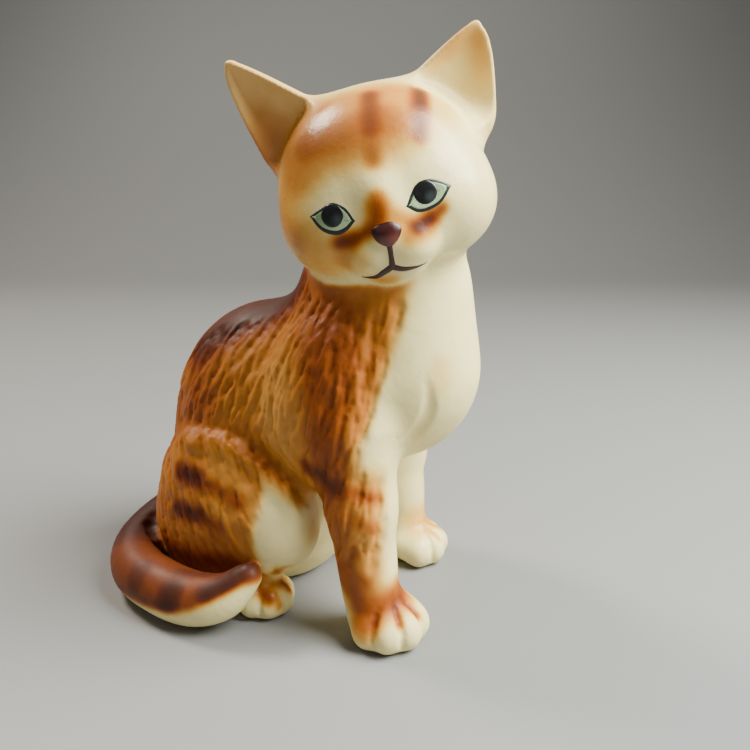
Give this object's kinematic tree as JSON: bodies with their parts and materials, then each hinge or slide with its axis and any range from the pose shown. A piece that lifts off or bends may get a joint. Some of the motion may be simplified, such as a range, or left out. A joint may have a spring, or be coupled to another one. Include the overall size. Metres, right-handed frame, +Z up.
{
  "type": "cat figurine",
  "caption": "Seated ceramic kitten figurine, head turned to its right and tail laid round its haunch, hollow cast and hand painted in ginger and cream.",
  "frame": {"origin": "on the surface that the figurine stands on, under the middle of its bounding box", "axes": "+Z up; the kitten's chest faces -Y and its right side is -X; its face is turned towards -X"},
  "size_m": [0.0755, 0.1039, 0.1413],
  "materials": {
    "ginger_bisque": "satin hand-painted bisque, ginger and brown over cream",
    "cream_bisque": "satin bisque, cream",
    "peach_bisque": "satin bisque, peach inside the cups of the ears",
    "face_enamel": "glossy overglaze enamel of the eyes, nose and mouth"
  },
  "bodies": {
    "root": {"torso_shell": "ginger_bisque", "head_shell": "cream_bisque", "right_ear": "peach_bisque", "left_ear": "peach_bisque", "right_foreleg": "ginger_bisque", "left_foreleg": "cream_bisque", "right_hind_paw": "cream_bisque", "left_hind_paw": "cream_bisque", "tail": "ginger_bisque"}
  },
  "joints": []
}
